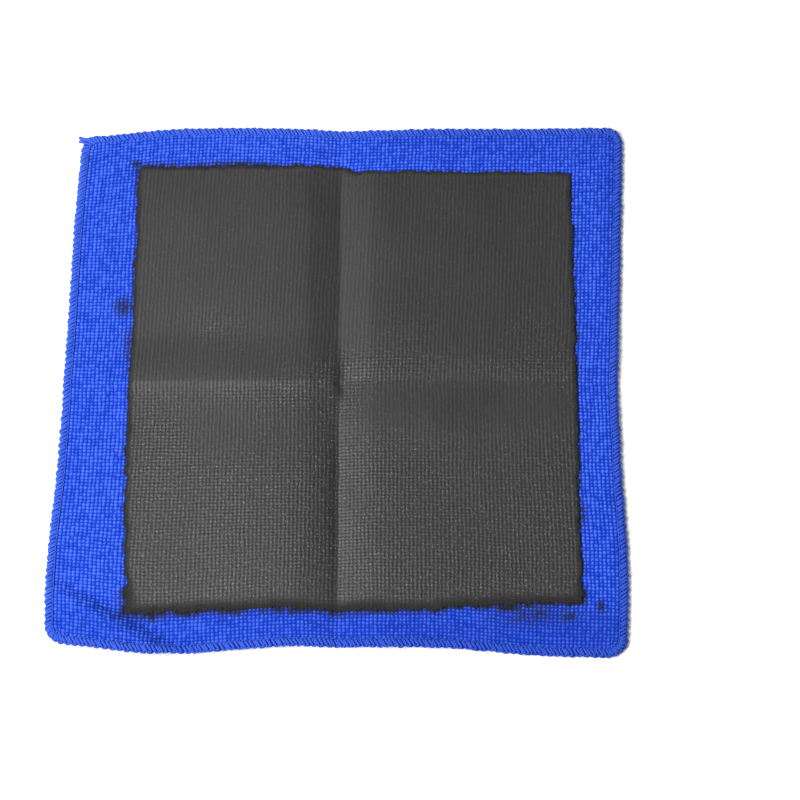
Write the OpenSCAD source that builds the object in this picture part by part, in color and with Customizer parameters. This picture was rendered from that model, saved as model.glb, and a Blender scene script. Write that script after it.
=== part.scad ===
// Clay towel: a square microfibre cloth with a thin layer of polymer clay on one face and a
// three-thread overlocked edge. It lies open and flat, clay side up, and folds in half along
// the line x = 0, so every piece that crosses that line is built as a left and a right half.

/* [Cloth] */
// Width of the towel, across the fold line
towel_w = 300; // [290:5:400]
// Length of the towel, along the fold line
towel_l = 300; // [290:5:400]
// Thickness of the cloth, from pile tips to pile tips
cloth_t = 3; // [2.6:0.1:4]
// Radius of the towel's corners
corner_r = 10; // [8:0.5:20]

/* [Clay layer] */
// Width of the clay layer
coat_w = 238; // [120:2:240]
// Length of the clay layer
coat_l = 252; // [120:2:260]
// Thickness of the clay layer
coat_t = 1; // [0.6:0.1:1.2]
// How far the clay layer stands above the pile around it
coat_proud = 0.2; // [0:0.1:0.4]
// Offset of the clay layer from the towel's centre, across the fold
coat_x = 7.5; // [-10:0.5:10]
// Offset of the clay layer from the towel's centre, along the fold
coat_y = 0; // [-5:0.5:5]
// Radius of the clay layer's corners
coat_r = 3; // [1:0.5:8]

/* [Overlocked edge] */
// Width of the band of cloth that the threads wrap
hem_w = 5; // [4.6:0.1:6]
// Length of one overlock stitch along the edge
stitch_l = 3.8; // [3:0.1:5]
// Width of a looper thread
looper_w = 0.9; // [0.6:0.1:1]
// Thickness of a looper thread
looper_t = 0.7; // [0.4:0.05:0.75]
// Width of the needle thread
needle_w = 0.6; // [0.4:0.1:0.7]
// Length of the chained thread tail at one corner
tail_l = 3.4; // [2:0.1:3.6]
// Diameter of the chained thread tail
tail_d = 1.2; // [0.8:0.1:1.6]

/* [Fold] */
// Gap between the two halves at the fold line
fold_gap = 0.3; // [0.2:0.05:0.6]

/* [Hidden] */

half_w = towel_w / 2;
half_l = towel_l / 2;
hem_step = 0.75;                         // how far the threads press the hem in, on each face
hem_low = hem_step;                      // underside of the pressed hem
hem_high = cloth_t - hem_step;           // top of the pressed hem
cloth_edge = 0.6;                        // cut edge of the cloth, inside the thread beads
coat_z = cloth_t + coat_proud - coat_t;  // underside of the clay layer
coat_clearance = 0.1;                    // between the clay layer and the pile around it

looper_outer = 0.75;                     // inset of a looper thread's turns at the edge
looper_inner = 2.9;                      // inset of its turns beside the needle line
looper_slant = 0.7;                      // share of a stitch that the outward leg runs along
needle_inset = 4.4;                      // inset of the needle line
run_margin = 0.9;                        // the threads stop this far from the fold line

// Length of the edge of one half, from the fold line round two corners to the fold line
side_run = half_w - corner_r;
corner_run = PI * corner_r / 2;
end_run = towel_l - 2 * corner_r;
half_run = 2 * side_run + 2 * corner_run + end_run;
stitches = round((half_run - 2 * run_margin) / stitch_l);
stitch_pitch = (half_run - 2 * run_margin) / stitches;

// Point of the left half's edge, a distance s along it and an inset inside it.
// It starts at the fold line on the far edge and runs anticlockwise to the near edge.
function corner_point(turn, cx, cy, inset) =
    [cx + (corner_r - inset) * cos(turn), cy + (corner_r - inset) * sin(turn)];
function edge_point(s, inset) =
    s < side_run ? [-s, half_l - inset] :
    s < side_run + corner_run ?
        corner_point(90 + 90 * (s - side_run) / corner_run, -side_run, half_l - corner_r, inset) :
    s < side_run + corner_run + end_run ?
        [-half_w + inset, half_l - corner_r - (s - side_run - corner_run)] :
    s < side_run + 2 * corner_run + end_run ?
        corner_point(180 + 90 * (s - side_run - corner_run - end_run) / corner_run,
                     -side_run, corner_r - half_l, inset) :
        [s - half_run, inset - half_l];

// Outline of a ribbon of width w laid along a path, with mitred turns
function unit(v) = v / norm(v);
function normal(a, b) = let (d = unit(b - a)) [-d[1], d[0]];
function mitre(path, i) =
    let (last = len(path) - 1,
         n1 = normal(path[max(i - 1, 0)], path[max(i, 1)]),
         n2 = normal(path[min(i, last - 1)], path[min(i + 1, last)]))
    (n1 + n2) / (1 + n1 * n2);
function ribbon(path, w) = concat(
    [for (i = [0 : len(path) - 1]) path[i] + mitre(path, i) * w / 2],
    [for (i = [len(path) - 1 : -1 : 0]) path[i] - mitre(path, i) * w / 2]);

// Path of a looper thread: out to the edge and back to the needle line once per stitch
function looper_path(lead) = concat(
    [for (i = [0 : stitches - 1]) for (turn = [0, 1])
        edge_point(run_margin + (i + turn * lead) * stitch_pitch,
                   turn == 0 ? looper_inner : looper_outer)],
    [edge_point(half_run - run_margin, looper_inner)]);

// Path of the needle thread: straight along the edges and round the corners
corner_steps = 8;
function needle_path() = concat(
    [edge_point(run_margin, needle_inset)],
    [for (k = [0 : corner_steps]) edge_point(side_run + corner_run * k / corner_steps, needle_inset)],
    [for (k = [0 : corner_steps])
        edge_point(side_run + corner_run + end_run + corner_run * k / corner_steps, needle_inset)],
    [edge_point(half_run - run_margin, needle_inset)]);

// Rectangle with round corners, centred on the origin
module rounded_plate(w, l, r, t) {
    linear_extrude(t) union() {
        square([w - 2 * r, l], center = true);
        square([w, l - 2 * r], center = true);
        for (sx = [-1, 1], sy = [-1, 1])
            translate([sx * (w / 2 - r), sy * (l / 2 - r)]) circle(r, $fn = 48);
    }
}

// Towel outline drawn in by an inset
module towel_plate(inset, t) {
    rounded_plate(towel_w - 2 * inset, towel_l - 2 * inset, corner_r - inset, t);
}

// The part of the children on one side of the fold line: side is -1 for the left, 1 for the right
module half_of(side) {
    intersection() {
        children();
        translate([side * fold_gap / 2 + (side < 0 ? -towel_w : 0), -towel_l, -cloth_t])
            cube([towel_w, 2 * towel_l, 4 * cloth_t]);
    }
}

// Microfibre cloth: full thickness inside the hem, pressed thin along the hem, and pressed
// down under the clay layer
module cloth(side) {
    color([0.12, 0.28, 0.85]) half_of(side) difference() {
        union() {
            towel_plate(hem_w, cloth_t);
            translate([0, 0, hem_low]) towel_plate(cloth_edge, hem_high - hem_low);
        }
        translate([coat_x, coat_y, coat_z])
            rounded_plate(coat_w + 2 * coat_clearance, coat_l + 2 * coat_clearance,
                          coat_r + coat_clearance, cloth_t);
    }
}

// Polymer clay layer
module clay_coat(side) {
    color([0.3, 0.3, 0.31]) half_of(side)
        translate([coat_x, coat_y, coat_z]) rounded_plate(coat_w, coat_l, coat_r, coat_t);
}

// The right half's threads are the left half's turned half round, as one run of stitches
// goes all the way round the towel
module round_the_edge(side) {
    rotate([0, 0, side < 0 ? 0 : 180]) children();
}

module needle_thread(side) {
    color([0.2, 0.36, 0.86]) round_the_edge(side)
        translate([0, 0, hem_high]) linear_extrude(looper_t) polygon(ribbon(needle_path(), needle_w));
}

module upper_looper(side) {
    color([0.24, 0.4, 0.88]) round_the_edge(side)
        translate([0, 0, hem_high]) linear_extrude(looper_t)
            polygon(ribbon(looper_path(looper_slant), looper_w));
}

module lower_looper(side) {
    color([0.2, 0.34, 0.8]) round_the_edge(side)
        translate([0, 0, hem_low - looper_t]) linear_extrude(looper_t)
            polygon(ribbon(looper_path(1 - looper_slant), looper_w));
}

// Tail of chained threads that points out of the far left corner
module thread_tail() {
    reach = corner_r - cloth_edge + 0.1;
    color([0.28, 0.44, 0.9])
        translate([-side_run, half_l - corner_r, cloth_t / 2])
            rotate([0, 0, 135]) translate([reach, 0, 0]) rotate([0, 90, 0])
                cylinder(h = tail_l, d = tail_d, $fn = 24);
}

cloth(-1);  // cloth_left
cloth(1);  // cloth_right
clay_coat(-1);  // clay_coat_left
clay_coat(1);  // clay_coat_right
needle_thread(-1);  // needle_thread_left
needle_thread(1);  // needle_thread_right
upper_looper(-1);  // upper_looper_left
upper_looper(1);  // upper_looper_right
lower_looper(-1);  // lower_looper_left
lower_looper(1);  // lower_looper_right
thread_tail();
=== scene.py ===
"""A microfibre clay towel, lying open on a pale floor with its clay side up.

The cloth is one lattice of knit loops, the clay layer a ragged patch of the same lattice, and the
edge is sewn with three swept threads. All of them are laid by the same two functions, lie() and
relief(), so they fit each other.
Lengths are in millimetres until a mesh is made, and in metres for the floor, lights and camera.
"""

import math

import bpy
import numpy as np
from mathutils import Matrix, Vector


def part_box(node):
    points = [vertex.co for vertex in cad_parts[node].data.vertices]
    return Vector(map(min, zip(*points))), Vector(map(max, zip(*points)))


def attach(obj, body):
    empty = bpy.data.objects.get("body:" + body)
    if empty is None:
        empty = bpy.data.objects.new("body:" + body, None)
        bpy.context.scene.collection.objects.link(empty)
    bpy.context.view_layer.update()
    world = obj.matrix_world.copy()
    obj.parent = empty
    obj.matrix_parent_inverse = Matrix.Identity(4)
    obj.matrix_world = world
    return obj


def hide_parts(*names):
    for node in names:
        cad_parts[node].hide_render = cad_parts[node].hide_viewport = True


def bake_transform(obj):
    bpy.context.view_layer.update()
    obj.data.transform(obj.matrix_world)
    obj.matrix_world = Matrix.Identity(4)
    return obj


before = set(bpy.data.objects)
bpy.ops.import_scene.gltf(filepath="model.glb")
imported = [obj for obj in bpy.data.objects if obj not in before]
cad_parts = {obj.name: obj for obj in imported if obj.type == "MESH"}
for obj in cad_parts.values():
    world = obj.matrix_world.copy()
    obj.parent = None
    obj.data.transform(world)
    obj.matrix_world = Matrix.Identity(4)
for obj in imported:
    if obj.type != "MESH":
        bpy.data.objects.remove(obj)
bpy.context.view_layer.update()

MM = 0.001

# The towel: boxes from the frame, and the sizes that they don't show
HALF = round(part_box("upper_looper_right")[1].x / MM)      # half the towel's width and length
CORNER_R = 10.0                                           # radius of its corners
STRAIGHT = HALF - CORNER_R                                # half of an edge's straight stretch
CLOTH_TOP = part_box("cloth_left")[1].z / MM                # pile tips on the clay side
HEM_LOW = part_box("lower_looper_left")[1].z / MM           # underside of the pressed hem
HEM_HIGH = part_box("upper_looper_left")[0].z / MM          # top of the pressed hem
CLOTH_EDGE = 0.6                                          # cut edge, inside the thread beads
HEM_W = 5.0                                               # band that the threads wrap
COAT_LOW = Vector(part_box("clay_coat_left")[0]) / MM
COAT_HIGH = Vector(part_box("clay_coat_right")[1]) / MM

# Knit lattice: loops along X and Y, each cut into small cells
LOOPS = (142, 156)
CUTS = 4
CELL = 2 * (HALF - CLOTH_EDGE) / (LOOPS[0] * CUTS)        # width of a small cell
LOOP_DEPTH = 0.9                                          # from a loop's tip down to the gaps
LOOP_STRAY = 0.26                                         # how far a loop strays from its place
PATCH_STRAY = 0.3                                         # how far a whole patch of loops does
NOISE_CELLS = 192                                         # the random grid repeats after these

# Creases that folding left
CREASE_W = 16.0                                           # width of a flank of the main crease
CREASE_FOOT = 7.0                                         # width of the sharp foot of a flank
CREASE_REACH = 60.0                                       # the rise dies away over this width
CREASE_RISE = 2.3
CROSS_W = 8.0                                             # second crease: its steep side
CROSS_REACH = 30.0                                        # and its gentle side
CROSS_RISE = 1.5
CROSSING_DENT = 0.5                                       # where the two creases cross

# Other ways in which the towel doesn't lie flat and square
SHEAR = 0.04                                              # the far half leans this much in X
EDGE_REACH = 110.0                                        # how far in an edge's shift reaches
CORNER_DRAW = 3.0                                         # pull on the far left corner
BROAD_WAVE = 0.26                                         # height of the broad soft waves
SMALL_WAVE = 0.12                                         # and of the small ones on them
LEFT_LIFT = 0.9                                           # lift of the left edge
CURL_AT = (-121, -128)                                    # the curled corner's fold passes here
CURL_WAY = (0.49, 0.87)                                   # direction across that fold
CURL_W = 10.4                                             # width of that fold
CURL_RISE = 6.0

# How far the towel's edges lie off a true square, at even steps along each edge
NEAR_EDGE = (4.4, 1.2, -1.5, -0.5, 1.4, 3.0, 2.8, 2.6, 2.6, 1.0, -1.4, -2.1, -2.6)
FAR_EDGE = (-4.5, 1.1, 1.4, -0.2, 1.0, 1.5, 2.4)
LEFT_EDGE = (-1.4, -2.2, 0.7, 2.0, 1.1, 0.1, 0.3)
RIGHT_EDGE = (0.0, 2.0, 0.1, -0.6, 0.0, 0.2, 0.4)


def smooth(t):
    """0 to 1 with no slope at either end."""
    t = np.clip(t, 0.0, 1.0)
    return t * t * (3 - 2 * t)


def noise(x, y, size, seed):
    """Smooth random field from -1 to 1, with features of that size."""
    grid = np.random.default_rng(seed).uniform(-1, 1, (NOISE_CELLS, NOISE_CELLS))
    i = np.floor(x / size).astype(int)
    j = np.floor(y / size).astype(int)
    a = smooth(x / size - i)
    b = smooth(y / size - j)

    def at(p, q):
        return grid[p % NOISE_CELLS, q % NOISE_CELLS]

    near = at(i, j) * (1 - a) + at(i + 1, j) * a
    far = at(i, j + 1) * (1 - a) + at(i + 1, j + 1) * a
    return near * (1 - b) + far * b


def spline(values, t):
    """Smooth curve through evenly spaced values, for t from 0 to 1."""
    p = np.asarray(values, float)
    p = np.concatenate([[2 * p[0] - p[1]], p, [2 * p[-1] - p[-2]]])
    x = np.clip(t, 0, 1) * (len(values) - 1)
    i = np.minimum(x.astype(int), len(values) - 2)
    f = x - i
    a, b, c, d = p[i], p[i + 1], p[i + 2], p[i + 3]
    return b + 0.5 * f * (c - a + f * (2 * a - 5 * b + 4 * c - d + f * (3 * (b - c) + d - a)))


def lie(p, q):
    """Where a point of the flat towel comes to lie, seen from above."""
    tp = (p + HALF) / (2 * HALF)
    tq = (q + HALF) / (2 * HALF)
    inner = HALF - EDGE_REACH
    x = p + SHEAR * np.maximum(q, 0)
    x = x + spline(LEFT_EDGE, tq) * smooth((-p - inner) / EDGE_REACH)
    x = x + spline(RIGHT_EDGE, tq) * smooth((p - inner) / EDGE_REACH)
    y = q + spline(NEAR_EDGE, tp) * smooth((-q - inner) / EDGE_REACH)
    y = y + spline(FAR_EDGE, tp) * smooth((q - inner) / EDGE_REACH)
    # the far left corner is drawn out to a point, where the tail of the seam leaves it
    point = CORNER_DRAW * np.exp(-((p + HALF) ** 2 + (q - HALF) ** 2) / 50)
    return x - 0.4 * point, y + point


def flank(distance, width, soft):
    """Rises straight from 0 at a crease to 1 at width, rounded over soft at both ends."""
    d = np.sqrt(distance * distance + (0.5 * soft) ** 2) - 0.5 * soft
    over = 0.5 * soft * np.logaddexp(0, (d - width) / (0.5 * soft))
    return (d - over) / width


def foot(distance, width):
    """Rises steeply from 0 at a sharp crease, then ever more gently towards 1."""
    return 1 - np.exp(-(np.sqrt(distance * distance + 0.5) - 0.7) / width)


def main_crease(x, y):
    """A valley along the fold line. Its straight flanks have a sharp foot and fall off slowly
    beyond. It is steepest on the left of the near half, and shallower at its ends and middle."""
    ax = np.abs(x)
    left = smooth(-x / 4)
    sharp = 0.35 + smooth(-y / 40) * (0.3 + 0.2 * left)
    rise = (1 - sharp) * flank(ax, CREASE_W, soft=1.5) + sharp * foot(ax, CREASE_FOOT)
    rise = rise * np.exp(-(np.maximum(ax - CREASE_W, 0) / CREASE_REACH) ** 2)
    rise = rise * (1 + 0.3 * smooth((-y - 15) / 40) * left)
    worn = 0.35 * smooth((np.abs(y) - 80) / 70) + 0.2 * np.exp(-(((y - 6) / 22) ** 2))
    return CREASE_RISE * rise * (1 - worn)


def cross_crease(x, y):
    """The second crease: a ridge on the left half, steep on its near side, and a valley on the
    right half, steep on its far side."""
    ay = np.abs(y)
    steep = foot(ay, CROSS_W)
    gentle = smooth(ay / CROSS_REACH)
    ridge = 1 - np.where(y < 0, steep, gentle)
    valley = 0.55 * np.where(y < 0, gentle, steep) * np.exp(-((ay / CROSS_REACH) ** 2))
    right = smooth((x + 4) / 8)
    return CROSS_RISE * (ridge * (1 - right) + valley * right)


def soft_waves(x, y):
    """Soft waves away from the main crease, and a left edge that lifts a little."""
    ay = np.abs(y)
    waves = BROAD_WAVE * (1 + noise(x, y, size=70, seed=11))
    waves = waves + SMALL_WAVE * (1 + noise(x, y, size=26, seed=12))
    waves = waves * smooth(np.abs(x) / 25) * (1 - 0.8 * smooth((np.maximum(ay, x) - 105) / 40))
    return waves + LEFT_LIFT * smooth((-x - 100) / 50) * (1 - 0.6 * smooth((ay - 110) / 40))


def corner_curl(x, y):
    """The near left corner, curled up beyond a diagonal fold."""
    dx = x - CURL_AT[0]
    dy = y - CURL_AT[1]
    across = CURL_WAY[0] * dx + CURL_WAY[1] * dy
    along = CURL_WAY[1] * dx - CURL_WAY[0] * dy
    beyond = smooth((CURL_W / 2 - across) / CURL_W)
    return CURL_RISE * beyond * np.exp(-(((along - 8) / 44) ** 2))


def relief(x, y):
    """Height of the underside above the floor: creases, soft waves and a curled corner."""
    dent = CROSSING_DENT * np.exp(-((x / 2.5) ** 2 + ((y + 2) / 3) ** 2))
    return main_crease(x, y) + cross_crease(x, y) - dent + soft_waves(x, y) + corner_curl(x, y)


def place(p, q, h):
    """World points, in millimetres, of points of the flat towel at height h in its thickness."""
    x, y = lie(p, q)
    return np.stack([x, y, relief(x, y) + h], -1)


# ---- meshes ---------------------------------------------------------------------------------


def new_mesh(name, points, faces, uv, attributes=None):
    """A smooth mesh object from points in millimetres and a list of face arrays (n, corners).
    The UV map holds flat coordinates, and each attribute one number per point."""
    corners = np.concatenate([f.ravel() for f in faces]).astype(np.int32)
    sizes = np.concatenate([np.full(len(f), f.shape[1]) for f in faces])
    used, corners = np.unique(corners, return_inverse=True)
    corners = corners.ravel()
    mesh = bpy.data.meshes.new(name)
    mesh.vertices.add(len(used))
    mesh.loops.add(len(corners))
    mesh.polygons.add(len(sizes))
    mesh.vertices.foreach_set("co", (points[used] * MM).astype(np.float32).ravel())
    mesh.loops.foreach_set("vertex_index", corners.astype(np.int32))
    mesh.polygons.foreach_set("loop_start", (np.cumsum(sizes) - sizes).astype(np.int32))
    mesh.polygons.foreach_set("use_smooth", np.ones(len(sizes), bool))
    mesh.update(calc_edges=True)
    layer = mesh.uv_layers.new(name="flat")
    layer.data.foreach_set("uv", uv[used][corners].astype(np.float32).ravel())
    for key, values in (attributes or {}).items():
        attribute = mesh.attributes.new(key, "FLOAT", "POINT")
        attribute.data.foreach_set("value", values[used].astype(np.float32))
    mesh.validate()
    obj = bpy.data.objects.new(name, mesh)
    bpy.context.scene.collection.objects.link(obj)
    return obj


def lattice():
    """Flat coordinates of every lattice point, with the corners rounded, and its inset from the
    edge."""
    u = np.linspace(-1, 1, LOOPS[0] * CUTS + 1) * (HALF - CLOTH_EDGE)
    v = np.linspace(-1, 1, LOOPS[1] * CUTS + 1) * (HALF - CLOTH_EDGE)
    u, v = np.meshgrid(u, v, indexing="ij")
    inset = HALF - np.maximum(np.abs(u), np.abs(v))
    a = np.maximum(np.abs(u) - STRAIGHT, 0)
    b = np.maximum(np.abs(v) - STRAIGHT, 0)
    pull = np.maximum(a, b) / np.maximum(np.hypot(a, b), 1e-9)
    pull = np.where((a > 0) & (b > 0), pull, 1.0)
    p = np.sign(u) * (np.minimum(np.abs(u), STRAIGHT) + a * pull)
    q = np.sign(v) * (np.minimum(np.abs(v), STRAIGHT) + b * pull)
    return p, q, inset


def loop_form():
    """For every lattice point: height of its loop, from 0 in a gap to 1 at a tip, and a random
    number of its loop."""
    nu = LOOPS[0] * CUTS + 1
    nv = LOOPS[1] * CUTS + 1
    i = np.arange(nu)[:, None]
    j = np.arange(nv)[None, :]
    random = np.random.default_rng(5)
    luck, lean_u, lean_v = random.uniform(0, 1, (3, *LOOPS))
    loop = (np.minimum(i // CUTS, LOOPS[0] - 1), np.minimum(j // CUTS, LOOPS[1] - 1))
    shift_u = 0.5 * (lean_u[loop] - 0.5) * np.sin(2 * np.pi * i / CUTS)
    shift_v = 0.5 * (lean_v[loop] - 0.5) * np.sin(2 * np.pi * j / CUTS)
    across = np.abs(np.sin(np.pi * i / CUTS)) ** 0.9 * (1 + shift_u)
    along = np.abs(np.sin(np.pi * j / CUTS)) ** 1.15 * (1 + shift_v)
    tip = across * (0.1 + 0.9 * along) * (0.7 + 0.45 * luck[loop])
    return tip, luck[loop]


def grow(mask):
    """Fills pairs of cells that touch only at a corner, until there are none."""
    mask = mask.copy()
    while True:
        a, b = mask[:-1, :-1], mask[1:, :-1]
        c, d = mask[:-1, 1:], mask[1:, 1:]
        first = a & d & ~b & ~c
        second = b & c & ~a & ~d
        if not (first.any() or second.any()):
            return mask
        mask[1:, :-1] |= first
        mask[:-1, :-1] |= second


def neighbours(field):
    """Sum of a cell field over each cell's 3 by 3 block."""
    padded = np.pad(field.astype(float), 1)
    n, m = field.shape
    return sum(padded[di:di + n, dj:dj + m] for di in range(3) for dj in range(3))


def cells_inside(mask, steps):
    """How many cells deep each cell lies inside the mask, up to a number of steps."""
    depth = np.zeros(mask.shape, int)
    for _ in range(steps):
        depth += mask
        mask = neighbours(mask) > 8.5
    return depth


def cells_outside(mask, steps):
    """How many cells away from the mask each cell lies, up to a number of steps."""
    away = np.zeros(mask.shape, int)
    for _ in range(steps):
        away += ~mask
        mask = neighbours(mask) > 0.5
    return away


def vertex_min(cells):
    """For each lattice point, the lowest value of the four cells round it, outside counting 0."""
    padded = np.pad(cells, 1)
    return np.minimum(np.minimum(padded[:-1, :-1], padded[1:, :-1]),
                      np.minimum(padded[:-1, 1:], padded[1:, 1:]))


def vertex_mean(cells):
    """For each lattice point, the mean of the four cells round it, repeated past the edge."""
    padded = np.pad(cells, 1, mode="edge")
    return (padded[1:, 1:] + padded[:-1, 1:] + padded[1:, :-1] + padded[:-1, :-1]) / 4


def lattice_faces(keep, coarse, flip=False, offset=0):
    """Faces over the kept cells: small quads, and one face per loop where coarse is true. A
    coarse face takes in every small corner that it shares with a fine neighbour."""
    nv = keep.shape[1] + 1

    def index(i, j):
        return i * nv + j + offset

    wide = np.repeat(np.repeat(coarse, CUTS, 0), CUTS, 1)
    i, j = np.nonzero(keep & ~wide)
    faces = [np.stack([index(i, j), index(i + 1, j), index(i + 1, j + 1), index(i, j + 1)], -1)]
    edge = np.pad(coarse, 1)
    around = np.stack([edge[1:-1, :-2], edge[2:, 1:-1], edge[1:-1, 2:], edge[:-2, 1:-1]], -1)
    plain = coarse & around.all(-1)
    i, j = (k * CUTS for k in np.nonzero(plain))
    faces.append(np.stack([index(i, j), index(i + CUTS, j), index(i + CUTS, j + CUTS),
                           index(i, j + CUTS)], -1))
    steps = range(CUTS)
    for i, j in zip(*np.nonzero(coarse & ~plain)):
        low, right, high, left = around[i, j]
        i, j = i * CUTS, j * CUTS
        ring = [index(i + k, j) for k in (steps if not low else [0])]
        ring += [index(i + CUTS, j + k) for k in (steps if not right else [0])]
        ring += [index(i + CUTS - k, j + CUTS) for k in (steps if not high else [0])]
        ring += [index(i, j + CUTS - k) for k in (steps if not left else [0])]
        faces.append(np.array([ring]))
    return [f[:, ::-1] if flip else f for f in faces if len(f)]


def rim_faces(keep, below):
    """Walls from the top lattice down to the one below, round the outline of the kept cells."""
    nv = keep.shape[1] + 1
    padded = np.pad(keep, 1)
    inside = padded[1:-1, 1:-1]
    walls = []
    # step to the cell next door, and the two corners of the side between them
    for di, dj, a, b in ((-1, 0, (0, 1), (0, 0)), (1, 0, (1, 0), (1, 1)),
                         (0, -1, (0, 0), (1, 0)), (0, 1, (1, 1), (0, 1))):
        n, m = keep.shape
        outside = ~padded[1 + di:1 + di + n, 1 + dj:1 + dj + m]
        i, j = np.nonzero(inside & outside)
        first = (i + a[0]) * nv + j + a[1]
        second = (i + b[0]) * nv + j + b[1]
        walls.append(np.stack([second, first, first + below, second + below], -1))
    return walls


# ---- cloth and clay layer -------------------------------------------------------------------

PILE_START = HEM_W - 2.1                                  # the pile starts to rise at this inset
PILE_RISE = 2.2                                           # and has risen this much further in
EDGE_ROUND = 0.35                                         # rounding of the cut edge
HOLE_INSET = 4.7                                          # needle holes of the seam
HOLE_R = 0.6
HOLE_DEPTH = 0.5
CLAY_LAP = 0.1                                            # clay and cloth overlap in the pile

# How far the clay's border lies off its rectangle in CAD, at even steps along each side
COAT_LEFT = (3.5, 0.0, -1.4, -0.6, 0.0, 0.5)
COAT_RIGHT = (1.5, 0.5, 0.8, 0.6, 0.0, 0.5)
COAT_NEAR = (-3.5, -2.6, -0.6, -1.6, 2.0, 3.5)
COAT_FAR = (1.0, 1.0, 1.4, 0.6, 0.3, 0.6)
COAT_STEP = 2.6                                           # the far side is lower on the right
COAT_THIN = 0.3                                           # the layer is thinner at its border
RIB = 0.15                                                # height of the clay's plain ribs
BEAD = 0.17                                               # what strong beads add to it

# Clay smudges outside the border, seen from above: centre, half sizes and strength
SMUDGES = (
    (-117, 43.5, 7.0, 8.0, 0.66),
    (-113, 129.5, 4.0, 3.0, 0.8),
    (89, -126, 10.0, 3.0, 1.0),
    (102, -129, 30.0, 9.0, 0.5),
    (105, -129, 9.0, 2.6, 0.7),
    (120.6, -131, 5.0, 4.0, 0.7),
    (137, -125, 3.0, 5.2, 0.75),
    (129, -75, 2.4, 9.0, 0.6),
    (-114, 18, 3.6, 20.0, 0.5),
    (-113, -40, 2.4, 9.0, 0.5),
)

flat_p, flat_q, inset = lattice()
tip, luck = loop_form()


def stray(seed):
    """How far the loops stray from their places: each by itself, and whole patches together."""
    loop = LOOP_STRAY * noise(flat_p, flat_q, size=2.6, seed=seed)
    patch = PATCH_STRAY * noise(flat_p, flat_q, size=17, seed=seed + 2)
    return smooth((inset - HEM_W) / 6) * (loop + patch)


lattice_p = flat_p + stray(21)
lattice_q = flat_q + stray(22)


def coat_cells():
    """Lattice cells that the clay covers: a rectangle whose border follows the loops."""
    p = (flat_p[1:, 1:] + flat_p[:-1, :-1]) / 2
    q = (flat_q[1:, 1:] + flat_q[:-1, :-1]) / 2
    x, y = lie(p, q)
    block = np.kron(np.random.default_rng(31).uniform(-1, 1, LOOPS), np.ones((CUTS, CUTS)))
    ragged = 0.35 * (block + noise(x, y, size=9, seed=32)) + 0.6 * noise(x, y, size=1.8, seed=33)
    tx = (x + HALF) / (2 * HALF)
    ty = (y + HALF) / (2 * HALF)
    left = COAT_LOW.x + spline(COAT_LEFT, ty) + ragged
    right = COAT_HIGH.x + spline(COAT_RIGHT, ty) + ragged
    near = COAT_LOW.y + spline(COAT_NEAR, tx) + ragged
    far = COAT_HIGH.y + spline(COAT_FAR, tx) - COAT_STEP * smooth((x - 1) / 8) + ragged
    keep = (x > left) & (x < right) & (y > near) & (y < far)
    return grow(neighbours(keep) > 4.5)


coat = coat_cells()
depth = cells_inside(coat, steps=14)
depth_v = vertex_min(depth)
away_v = vertex_mean(cells_outside(coat, steps=12))


def clay_field():
    """How much clay sticks to the loops outside the layer, from 0 to 1."""
    x, y = lie(lattice_p, lattice_q)
    marks = np.zeros(x.shape)
    for cx, cy, rx, ry, strength in SMUDGES:
        distance = np.hypot((x - cx) / rx, (y - cy) / ry)
        marks = np.maximum(marks, strength * (1 - smooth(distance / 1.4)))
    # the fringe round the layer is widest along the near side and at the far left
    near = smooth((-y - 112) / 8) * (1 - 0.4 * smooth((x + 40) / 60))
    far = smooth((y - 118) / 6) * smooth((-x - 20) / 30)
    reach = 1.7 + 4.4 * near + 3.2 * far + 0.9 * noise(x, y, size=8, seed=41)
    fringe = np.clip(1.05 - away_v * CELL / reach, 0, 1)
    fringe = fringe * (0.85 + 0.3 * noise(x, y, size=3, seed=43))
    return np.clip(np.maximum(marks, fringe), 0, 1)


def painted_edge_shade(x, y):
    """How much darker pile and thread are painted, as shade: most along the near edge, less at the
    far and right edges.
    """
    near = smooth((-y - 120) / 16) * (0.22 + 0.2 * smooth((x + 60) / 120))
    far = 0.15 * smooth((y - 125) / 10) * smooth(x / 60)
    right = 0.3 * smooth((x - 140) / 8)
    return np.maximum(np.maximum(near, far), right)


def new_sheet(name, top, low, faces, fields, top_fields):
    """A mesh object of an upper and a lower lattice, at these heights in the towel's thickness.
    The top fields are 0 on the lower lattice."""
    points = np.concatenate([place(lattice_p, lattice_q, h).reshape(-1, 3) for h in (top, low)])
    attributes = {key: np.tile(field.ravel(), 2) for key, field in fields.items()}
    for key, field in top_fields.items():
        attributes[key] = np.concatenate([field.ravel(), np.zeros(field.size)])
    uv = np.tile(np.stack([flat_p.ravel(), flat_q.ravel()], -1), (2, 1))
    return new_mesh(name, points, faces, uv, attributes)


def whole_loops(cells):
    """For each loop, whether all of its small cells are true."""
    return cells.reshape(LOOPS[0], CUTS, LOOPS[1], CUTS).all((1, 3))


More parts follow.
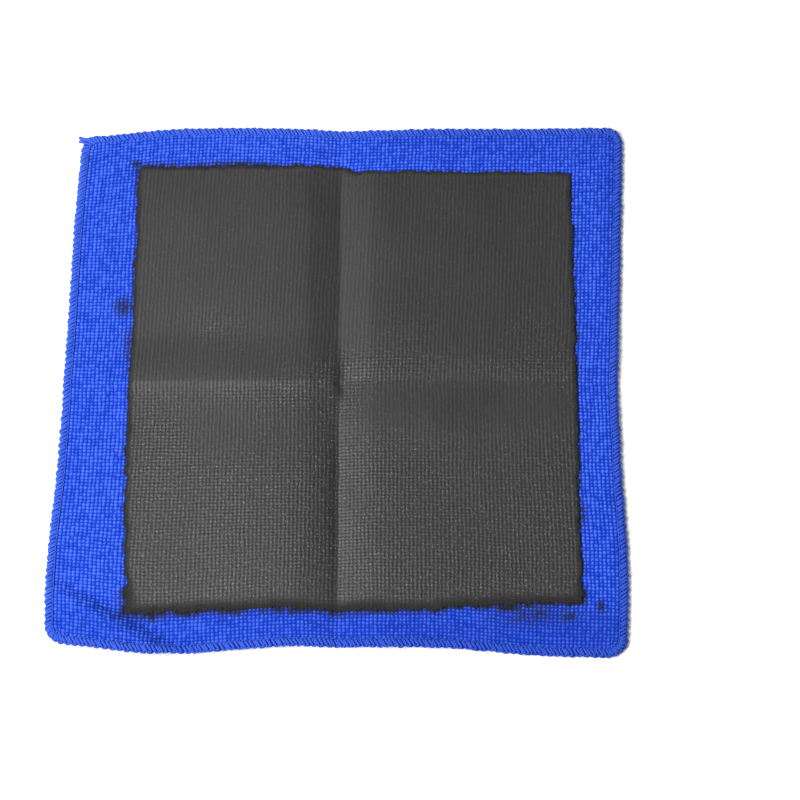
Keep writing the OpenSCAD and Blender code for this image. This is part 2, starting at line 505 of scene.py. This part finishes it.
def make_cloth():
    """The knit cloth: loops on both faces, pressed under the clay and under the edge threads."""
    pile = smooth((inset - PILE_START) / PILE_RISE)
    edge_round = EDGE_ROUND * (1 - smooth((inset - CLOTH_EDGE) / 0.8))
    under = smooth(depth_v / 3)
    hole = np.exp(-(stitch_offset(flat_p, flat_q) ** 2 + (inset - HOLE_INSET) ** 2) / HOLE_R ** 2)
    top = CLOTH_TOP - LOOP_DEPTH * (1 - tip)
    top = top * (1 - under) + (COAT_LOW.z - CLAY_LAP) * under
    top = top * pile + (HEM_HIGH - 0.05) * (1 - pile) - edge_round - HOLE_DEPTH * hole
    low = LOOP_DEPTH * (1 - np.minimum(tip, 1.0))
    low = low * pile + (HEM_LOW + 0.05) * (1 - pile) + edge_round
    # the upper face is coarse where it is deep under the clay
    everywhere = np.ones(coat.shape, bool)
    count = flat_p.size
    faces = lattice_faces(everywhere, coarse=whole_loops(depth >= 6))
    faces += lattice_faces(everywhere, coarse=np.zeros(LOOPS, bool), flip=True, offset=count)
    faces += rim_faces(everywhere, below=count)
    fields = {
        "loop": np.clip(tip * pile, 0, 1),
        "luck": luck,
        "hole": hole,
        # painted shade: the hem band under the threads is darker, and so are the towel's edges
        "shade": 0.35 * (1 - pile) + painted_edge_shade(*lie(flat_p, flat_q)),
    }
    return new_sheet("microfibre_cloth", top, low, faces, fields, {"clay": clay_field()})


def bead_field(calm):
    """How strongly the clay's ribs are broken up into beads, from 0 to 1: most in the near half
    and along the second crease, and least where the clay is calm."""
    beads = 0.45 - flat_q / 90 + 0.6 * noise(flat_p, flat_q, size=34, seed=51)
    beads = beads + 0.6 * np.exp(-(((flat_q - 8 * np.sign(flat_p)) / 8) ** 2))
    return smooth(beads) * (1 - 0.8 * calm)


def make_coat():
    """The clay layer: thin at its ragged border, with a rib over each column of loops."""
    body = smooth(depth_v / 4)
    # the clay is calm and smooth just below the second crease on the right half
    calm = np.exp(-(((flat_q + 16) / 12) ** 2)) * smooth((flat_p - 6) / 14)
    beads = bead_field(calm)
    rib = np.abs(np.sin(np.pi * np.arange(coat.shape[0] + 1)[:, None] / CUTS))
    bead = np.abs(np.sin(np.pi * np.arange(coat.shape[1] + 1)[None, :] / CUTS))
    form = rib * (1 - 0.85 * beads * (1 - bead)) * (0.75 + 0.5 * luck)
    ribs = (RIB + BEAD * beads) * (1 - 0.4 * calm) * form
    top = COAT_HIGH.z - 0.16 + ribs + COAT_THIN * (1 - body) * (tip - 1)
    low = np.full(top.shape, COAT_LOW.z - 0.12)
    # the underside is coarse away from the border
    count = flat_p.size
    faces = lattice_faces(coat, coarse=np.zeros(LOOPS, bool))
    faces += lattice_faces(coat, coarse=whole_loops(depth >= 3), flip=True, offset=count)
    faces += rim_faces(coat, below=count)
    # the worn look of the border is widest along the near side, and the same field paints shade where
    # the two creases cross
    worn = 3.4 + 5.0 * smooth((-flat_q - 108) / 12)
    crossing_shade = np.exp(-((flat_p / 2.2) ** 2) - ((flat_q + 5) / 5.0) ** 2)
    border_and_crossing_shade = np.maximum(1 - smooth(depth_v * CELL / worn), 0.75 * crossing_shade)
    fields = {"border_and_crossing_shade": border_and_crossing_shade, "rib": form, "beads": beads}
    return new_sheet("clay_coat", top, low, faces, fields, {})


# ---- threads --------------------------------------------------------------------------------

STITCH_L = 3.8                                            # length of one overlock stitch
CORNER_RUN = math.pi * CORNER_R / 2
SIDE_RUN = 2 * STRAIGHT + CORNER_RUN                      # one edge with one corner
EDGE_RUN = 4 * SIDE_RUN
STITCHES = round(EDGE_RUN / STITCH_L)
STITCH_PITCH = EDGE_RUN / STITCHES
MIDDLE = (HEM_LOW + HEM_HIGH) / 2


def edge_point(s, inset_mm):
    """Flat point a distance s round the edge and an inset inside it. It starts in the middle of
    the far left corner and runs anticlockwise, seen from above."""
    s = np.mod(s + CORNER_RUN / 2 + SIDE_RUN, EDGE_RUN)
    side = np.minimum((s // SIDE_RUN).astype(int), 3)
    t = s - side * SIDE_RUN
    turn = np.clip((t - 2 * STRAIGHT) / CORNER_RUN, 0, 1) * math.pi / 2
    # points of the near edge and its right corner, then turned to their own side
    run = np.minimum(t, 2 * STRAIGHT) - STRAIGHT
    p = run + (CORNER_R - inset_mm) * np.sin(turn)
    q = -STRAIGHT - (CORNER_R - inset_mm) * np.cos(turn)
    angle = side * math.pi / 2
    return p * np.cos(angle) - q * np.sin(angle), p * np.sin(angle) + q * np.cos(angle)


def stitch_offset(p, q):
    """How far a point near a straight edge is, along the edge, from the closest needle hole."""
    ahead = np.abs(q) > np.abs(p)
    near, right, far = ahead & (q < 0), ~ahead & (p > 0), ahead & (q > 0)
    run = np.select([near, right, far], [p, q, -p], -q) + STRAIGHT
    side = np.select([near, right, far], [0, 1, 2], 3)
    s = run + (side - 1) * SIDE_RUN - CORNER_RUN / 2
    return (s + STITCH_PITCH / 2) % STITCH_PITCH - STITCH_PITCH / 2


def sweep(path, width, height, sides, ply, turns):
    """Points, faces, and the length and angle coordinates of a thread swept along a path. Its
    section is an ellipse whose height stands off the cloth, with two plies that twist along it."""
    step = np.gradient(path, axis=0)
    step /= np.maximum(np.linalg.norm(step, axis=1, keepdims=True), 1e-9)
    up = np.array([0.0, 0.0, 1.0])
    wide = np.cross(step, up)
    # where the thread runs straight up or down, keep the last good direction
    good = np.linalg.norm(wide, axis=1) > 0.25
    last = np.maximum.accumulate(np.where(good, np.arange(len(path)), 0))
    wide = wide[last]
    wide -= (wide * step).sum(1, keepdims=True) * step
    wide /= np.maximum(np.linalg.norm(wide, axis=1, keepdims=True), 1e-9)
    tall = np.cross(wide, step)
    run = np.concatenate([[0], np.cumsum(np.linalg.norm(np.diff(path, axis=0), axis=1))])
    angle = 2 * math.pi * np.arange(sides) / sides
    twist = turns * run[:, None]
    radius = 1 + ply * np.cos(2 * (angle[None, :] - twist))
    points = (path[:, None, :]
              + (width / 2 * radius * np.cos(angle))[..., None] * wide[:, None, :]
              + (height / 2 * radius * np.sin(angle))[..., None] * tall[:, None, :])
    n = len(path)
    i = np.arange(n - 1)[:, None]
    j = np.arange(sides)[None, :]
    k = (j + 1) % sides
    quads = np.stack([i * sides + j, i * sides + k, (i + 1) * sides + k,
                      (i + 1) * sides + j], -1).reshape(-1, 4)
    caps = [np.arange(sides)[::-1][None, :], ((n - 1) * sides + np.arange(sides))[None, :]]
    uv = np.stack([np.repeat(run, sides), np.tile(angle / (2 * math.pi), n)], -1)
    return points.reshape(-1, 3), [quads, *caps], uv


def stitch_path(stations, per_stitch, seed, wander):
    """Path of a thread whose stations (distance, inset, height) repeat with every stitch, made
    smooth and a little uneven."""
    random = np.random.default_rng(seed)
    stations = np.array(stations, float)
    count = len(stations)
    base = np.tile(stations, (STITCHES, 1))
    base[:, 0] += np.repeat(np.arange(STITCHES), count) * STITCH_PITCH
    base += np.repeat(random.normal(0, 1, (STITCHES, 3)) * wander, count, axis=0)
    fine = np.linspace(0, 1, STITCHES * per_stitch)
    s, d, h = (spline(base[:, k], fine) for k in range(3))
    p, q = edge_point(s, d)
    return place(p, q, h)


def make_thread(name, stations, per_stitch, width, height, sides, seed, wander):
    """A thread that repeats the same stations with every stitch all round the edge."""
    path = stitch_path(stations, per_stitch, seed, np.array(wander))
    points, faces, uv = sweep(path, width, height, sides, ply=0.1, turns=2.4)
    # painted shade along the towel's edges, as on the cloth
    return new_mesh(name, points, faces, uv, {"shade": painted_edge_shade(points[:, 0], points[:, 1])})


# Stations of one stitch: distance along the edge, inset and height. The needle thread lies in a
# short straight stitch and dips through the cloth at its ends
NEEDLE_STATIONS = (
    (0.00, 4.35, 0.55), (0.25, 4.35, 1.30), (0.50, 4.35, HEM_HIGH + 0.15),
    (1.20, 4.40, HEM_HIGH + 0.38), (1.90, 4.45, HEM_HIGH + 0.46), (2.60, 4.40, HEM_HIGH + 0.38),
    (3.30, 4.35, HEM_HIGH + 0.15), (3.55, 4.35, 1.30),
)
# Each loop of a looper thread leaves the needle line, slants out to the edge, turns round the
# bead there and comes back beside itself, then passes on to the next stitch inside the cloth
UPPER_STATIONS = (
    (0.00, 4.30, HEM_HIGH - 0.35), (0.25, 3.80, HEM_HIGH + 0.10), (0.90, 2.70, HEM_HIGH + 0.32),
    (1.50, 1.80, HEM_HIGH + 0.34), (1.95, 1.15, HEM_HIGH + 0.15), (2.45, 0.62, MIDDLE + 0.30),
    (3.50, 0.62, MIDDLE + 0.25), (4.00, 1.15, HEM_HIGH + 0.10), (3.70, 1.80, HEM_HIGH + 0.30),
    (3.00, 2.70, HEM_HIGH + 0.28), (2.30, 3.75, HEM_HIGH + 0.08), (2.20, 4.25, HEM_HIGH - 0.35),
)
LOWER_STATIONS = tuple((s + 0.3, d + 0.1, 2 * MIDDLE - h) for s, d, h in UPPER_STATIONS)


def make_needle_thread():
    """Short straight stitches on the clay side that dip into the cloth between them."""
    return make_thread("needle_thread", NEEDLE_STATIONS, per_stitch=16, width=0.55, height=0.45,
                       sides=8, seed=61, wander=(0.1, 0.06, 0.03))


def make_upper_looper():
    """The slanted turns on the clay side of the hem."""
    return make_thread("upper_looper_thread", UPPER_STATIONS, per_stitch=30, width=1.38, height=0.66,
                       sides=10, seed=62, wander=(0.26, 0.16, 0.07))


def make_lower_looper():
    """The same turns, mirrored, on the underside of the hem."""
    return make_thread("lower_looper_thread", LOWER_STATIONS, per_stitch=30, width=1.38, height=0.62,
                       sides=10, seed=63, wander=(0.26, 0.16, 0.05))


def make_tail():
    """The chained end of the seam: two short strands, half a turn apart about one line, that
    start on the hem of the far left corner and run out past the left edge."""
    rings = 26
    sides = 10
    width = 2.1
    height = 1.6
    t = np.linspace(0, 1, rings)
    points = []
    faces = []
    uvs = []
    for strand in range(2):
        turn = 3.2 * t + math.pi * strand
        p = 6.0 - HALF - 6.9 * t
        q = HALF - 4.2 + 1.0 * t + 0.95 * np.cos(turn)
        h = MIDDLE + 0.4 - 0.5 * t + 0.5 * np.sin(turn)
        thread, quads, uv = sweep(place(p, q, h), width, height, sides, ply=0.12, turns=1.2)
        thread = thread.reshape(rings, sides, 3)
        middle = thread.mean(1, keepdims=True)
        slim = (1 - 0.25 * t ** 8)[:, None, None]
        faces += [f + len(points) * rings * sides for f in quads]
        points.append((middle + (thread - middle) * slim).reshape(-1, 3))
        uvs.append(uv)
    return new_mesh("thread_tail_chain", np.concatenate(points), faces, np.concatenate(uvs))


# ---- materials ------------------------------------------------------------------------------

# Colours, as linear red, green and blue, and alpha where the shader takes it directly
BLUE_GAP_SHADE = (0.0025, 0.025, 0.34)
BLUE_TIP = (0.062, 0.152, 0.84)
BLUE_SHADE = (0.004, 0.022, 0.26)
BLUE_HOLE_SHADE = (0.002, 0.01, 0.1)
SMUDGE_DARK = (0.004, 0.005, 0.01)
SMUDGE_PALE = (0.026, 0.028, 0.036)
CLAY_DARK = (0.008, 0.008, 0.0082)
CLAY_PALE = (0.0155, 0.0155, 0.016)
CLAY_STREAK = (0.022, 0.022, 0.0225)
CLAY_VALLEY_SHADE = (0.004, 0.004, 0.004)
CLAY_GLINT = (0.15, 0.15, 0.152)
BORDER_DARK = (0.0015, 0.0015, 0.0015)
BORDER_PALE = (0.015, 0.014, 0.0125)
THREAD_FURROW_SHADE = (0.007, 0.032, 0.34)
THREAD_STRAND = (0.052, 0.128, 0.66)
SHEEN_BLUE = (0.2, 0.4, 1.0, 1.0)
FLOOR_PALE = (0.92, 0.92, 0.925, 1)


class Nodes:
    """Short calls for building a material's nodes."""

    def __init__(self, name):
        self.material = bpy.data.materials.new(name)
        self.material.use_nodes = True
        self.tree = self.material.node_tree
        self.shader = self.tree.nodes["Principled BSDF"]

    def add(self, kind, **settings):
        node = self.tree.nodes.new(kind)
        for key, value in settings.items():
            setattr(node, key, value)
        return node

    def link(self, source, target):
        self.tree.links.new(source, target)

    def feed(self, socket, value):
        """Gives a socket a number, a colour or another node's output."""
        if isinstance(value, (int, float)):
            socket.default_value = value
        elif isinstance(value, tuple):
            socket.default_value = (*value, 1.0)
        else:
            self.link(value, socket)

    def constants(self, values):
        """Sets the shader's own sockets."""
        for name, value in values.items():
            self.shader.inputs[name].default_value = value

    def attribute(self, name):
        return self.add("ShaderNodeAttribute", attribute_name=name).outputs["Fac"]

    def flat(self, scale):
        """The flat UV coordinates, in millimetres, times scale along each axis."""
        source = self.add("ShaderNodeUVMap", uv_map="flat")
        mapping = self.add("ShaderNodeMapping")
        mapping.inputs["Scale"].default_value = scale
        self.link(source.outputs["UV"], mapping.inputs["Vector"])
        return mapping.outputs["Vector"]

    def noise(self, vector, scale=1.0, detail=2.0, roughness=0.5):
        node = self.add("ShaderNodeTexNoise")
        node.inputs["Scale"].default_value = scale
        node.inputs["Detail"].default_value = detail
        node.inputs["Roughness"].default_value = roughness
        self.link(vector, node.inputs["Vector"])
        return node.outputs["Fac"]

    def math(self, operation, *values, clamp=False):
        node = self.add("ShaderNodeMath", operation=operation, use_clamp=clamp)
        for socket, value in zip(node.inputs, values):
            self.feed(socket, value)
        return node.outputs[0]

    def plus(self, a, b):
        return self.math("ADD", a, b)

    def minus(self, a, b):
        return self.math("SUBTRACT", a, b)

    def times(self, a, b, clamp=False):
        return self.math("MULTIPLY", a, b, clamp=clamp)

    def spread(self, value, low, high, to_low=0.0, to_high=1.0):
        """Maps low to high onto to_low to to_high, with no slope at either end."""
        node = self.add("ShaderNodeMapRange", interpolation_type="SMOOTHSTEP")
        self.link(value, node.inputs["Value"])
        node.inputs["From Min"].default_value = low
        node.inputs["From Max"].default_value = high
        node.inputs["To Min"].default_value = to_low
        node.inputs["To Max"].default_value = to_high
        return node.outputs["Result"]

    def mix(self, factor, a, b):
        """The colour a, turning to b as the factor goes from 0 to 1."""
        node = self.add("ShaderNodeMix", data_type="RGBA", blend_type="MIX")
        sockets = [s for s in node.inputs if s.enabled]
        for socket, value in zip(sockets, (factor, a, b)):
            self.feed(socket, value)
        return [o for o in node.outputs if o.enabled][0]

    def bump(self, height, distance):
        """Small relief on the shader, as high as the distance, in metres."""
        node = self.add("ShaderNodeBump")
        node.inputs["Strength"].default_value = 0.8
        node.inputs["Distance"].default_value = distance
        self.link(height, node.inputs["Height"])
        self.link(node.outputs["Normal"], self.shader.inputs["Normal"])

    def color(self, source):
        self.link(source, self.shader.inputs["Base Color"])

    def roughness(self, source):
        self.link(source, self.shader.inputs["Roughness"])


def microfibre():
    """Bright loop tips over deep blue gaps painted darker as shade, uneven from loop to loop, with
    split-fibre fuzz.
    """
    n = Nodes("microfibre")
    fuzz = n.noise(n.flat((1, 1, 1)), scale=3.4, detail=3.0, roughness=0.7)
    loop = n.attribute("loop")
    luck = n.attribute("luck")
    # painted shade: the loop height darkens the gaps, mixed with random tone from the fuzz and from
    # loop to loop
    shade_and_tone = n.plus(n.times(loop, 0.8), n.times(fuzz, 0.3))
    shade_and_tone = n.plus(shade_and_tone, n.times(luck, 0.16))
    blue = n.mix(n.spread(shade_and_tone, 0.2, 1.05), BLUE_GAP_SHADE, BLUE_TIP)
    # painted shade from the shade attribute: the hem band and the towel's edges
    blue = n.mix(n.attribute("shade"), blue, BLUE_SHADE)
    # painted shade in the needle holes of the seam
    blue = n.mix(n.times(n.attribute("hole"), 0.8), blue, BLUE_HOLE_SHADE)
    # clay takes the loops' gaps first, and some loops more than others
    clay = n.attribute("clay")
    uneven = n.minus(n.times(luck, 0.7), n.times(loop, 0.35))
    stain = n.plus(clay, n.minus(uneven, 0.08))
    stain = n.times(n.spread(stain, 0.15, 0.8), n.spread(clay, 0.02, 0.25))
    stain = n.times(stain, n.spread(clay, 0.2, 0.9, 0.55, 1.0))
    grey = n.mix(n.spread(fuzz, 0.35, 0.65), SMUDGE_DARK, SMUDGE_PALE)
    n.color(n.mix(stain, blue, grey))
    n.roughness(n.spread(fuzz, 0.3, 0.7, 0.95, 0.8))
    n.constants({
        "Sheen Weight": 0.08,
        "Sheen Roughness": 0.5,
        "Sheen Tint": SHEEN_BLUE,
        "Specular IOR Level": 0.06,
    })
    n.bump(fuzz, 0.00022)
    return n.material


def polymer_clay():
    """Satin black-grey with small pale glints painted on the ribs, darker and rougher at the border
    and, as painted shade, where the creases cross.
    """
    n = Nodes("polymer_clay")
    grain = n.noise(n.flat((1, 1, 1)), scale=2.2, detail=3.0, roughness=0.65)
    cloud = n.noise(n.flat((1, 1, 1)), scale=0.03, detail=3.0)
    streak = n.noise(n.flat((0.48, 0.02, 1)), scale=1.0, detail=2.0)
    spots = n.noise(n.flat((1.1, 0.7, 1)), scale=1.0, detail=1.0)
    border_and_crossing_shade = n.attribute("border_and_crossing_shade")
    grey = n.mix(n.spread(grain, 0.35, 0.7), CLAY_DARK, CLAY_PALE)
    grey = n.mix(n.spread(streak, 0.45, 0.75, 0.0, 0.3), grey, CLAY_STREAK)
    # painted shade in the valleys between the ribs and between the beads
    grey = n.mix(n.spread(n.attribute("rib"), 0.0, 0.6, 0.8, 0.0), grey, CLAY_VALLEY_SHADE)
    umber = n.mix(n.spread(grain, 0.42, 0.64), BORDER_DARK, BORDER_PALE)
    # darker colour for the worn border, and painted shade where the creases cross
    grey = n.mix(n.times(border_and_crossing_shade, 0.9), grey, umber)
    # painted highlights: small pale glints on the ribs, most where beads are strong, none on the worn
    # border
    glint = n.times(n.spread(spots, 0.6, 0.7), n.plus(n.attribute("beads"), 0.4))
    clean = n.times(n.spread(grain, 0.45, 0.6), n.minus(1.0, border_and_crossing_shade))
    glint = n.times(n.times(glint, clean), 0.85, clamp=True)
    n.color(n.mix(glint, grey, CLAY_GLINT))
    rough = n.plus(n.spread(grain, 0.3, 0.7, 0.54, 0.42), n.spread(cloud, 0.35, 0.65, -0.04, 0.05))
    n.roughness(n.plus(rough, n.times(border_and_crossing_shade, 0.55)))
    n.constants({"Specular IOR Level": 0.57})
    n.bump(grain, 0.00018)
    return n.material


def edge_thread():
    """Twisted polyester thread: pale strands over furrows painted darker as shade."""
    n = Nodes("edge_thread")
    run = n.add("ShaderNodeSeparateXYZ")
    n.link(n.flat((1, 1, 1)), run.inputs["Vector"])
    lay = n.plus(n.times(run.outputs["X"], 0.85), n.times(run.outputs["Y"], 3.0))
    strand = n.math("ABSOLUTE", n.math("SINE", n.times(lay, math.pi)))
    fuzz = n.noise(n.flat((1, 6, 1)), scale=2.2, detail=3.0, roughness=0.7)
    shade_and_tone = n.plus(n.times(strand, 0.65), n.times(fuzz, 0.5))
    # painted shade in the furrows between the strands, with random tone from the fuzz
    blue = n.mix(n.spread(shade_and_tone, 0.2, 0.95), THREAD_FURROW_SHADE, THREAD_STRAND)
    # painted shade from the shade attribute: along the towel's edges
    n.color(n.mix(n.attribute("shade"), blue, BLUE_SHADE))
    n.constants({
        "Roughness": 0.72,
        "Sheen Weight": 0.08,
        "Sheen Tint": SHEEN_BLUE,
        "Specular IOR Level": 0.08,
    })
    n.bump(shade_and_tone, 0.00014)
    return n.material


# ---- pieces ---------------------------------------------------------------------------------

SHEET_PIECES = (
    ("microfibre", ("cloth_left", "cloth_right"), make_cloth),
    ("polymer_clay", ("clay_coat_left", "clay_coat_right"), make_coat),
    ("edge_thread", ("needle_thread_left", "needle_thread_right"), make_needle_thread),
    ("edge_thread", ("upper_looper_left", "upper_looper_right"), make_upper_looper),
    ("edge_thread", ("lower_looper_left", "lower_looper_right"), make_lower_looper),
)
materials = {"microfibre": microfibre(), "polymer_clay": polymer_clay(), "edge_thread": edge_thread()}
for slot, nodes, make in SHEET_PIECES:
    piece = make()
    piece.data.materials.append(materials[slot])
    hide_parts(*nodes)
    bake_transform(piece)

tail = make_tail()
tail.data.materials.append(materials["edge_thread"])
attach(tail, "left_half")
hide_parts("thread_tail")


# ---- floor, light and camera ----------------------------------------------------------------


def make_floor():
    """A plain pale floor, which is no part of the object."""
    bpy.ops.mesh.primitive_plane_add(size=12, location=(0, 0, 0))
    floor = bpy.context.object
    floor.name = "floor"
    n = Nodes("pale_floor")
    n.constants({"Base Color": FLOOR_PALE, "Roughness": 0.9, "Specular IOR Level": 0.1})
    floor.data.materials.append(n.material)


def area_light(name, azimuth, elevation, distance, size, power):
    """A soft light that shines on the towel. Azimuth 0 is behind the camera, 90 to its right."""
    data = bpy.data.lights.new(name, "AREA")
    data.size = size
    data.energy = power
    light = bpy.data.objects.new(name, data)
    bpy.context.scene.collection.objects.link(light)
    a = math.radians(azimuth)
    e = math.radians(elevation)
    way = Vector((math.sin(a) * math.cos(e), -math.cos(a) * math.cos(e), math.sin(e)))
    light.location = way * distance
    light.rotation_mode = "QUATERNION"
    light.rotation_quaternion = way.to_track_quat("Z", "Y")


def make_world(strength):
    """Even white light from all round."""
    world = bpy.data.worlds.new("studio")
    world.use_nodes = True
    background = world.node_tree.nodes["Background"]
    background.inputs["Color"].default_value = (1, 1, 1, 1)
    background.inputs["Strength"].default_value = strength
    bpy.context.scene.world = world


def make_camera(elevation, distance, lens, target):
    """A camera in front of the towel that looks down at the target."""
    data = bpy.data.cameras.new("camera")
    data.lens = lens
    data.sensor_width = 36
    data.clip_start = 0.01
    data.clip_end = 50
    camera = bpy.data.objects.new("camera", data)
    bpy.context.scene.collection.objects.link(camera)
    e = math.radians(elevation)
    back = Vector((0, -math.cos(e), math.sin(e)))
    camera.location = Vector(target) + back * distance
    camera.rotation_mode = "QUATERNION"
    camera.rotation_quaternion = back.to_track_quat("Z", "Y")
    bpy.context.scene.camera = camera


make_floor()
make_world(strength=0.36)
area_light("key", azimuth=-64, elevation=40, distance=2.2, size=0.9, power=58)
area_light("top", azimuth=-92, elevation=62, distance=1.45, size=0.6, power=14.5)
make_camera(elevation=69, distance=1.475, lens=123.9, target=(0.0325, -0.0093, 0))
bpy.context.scene.view_settings.view_transform = "Standard"
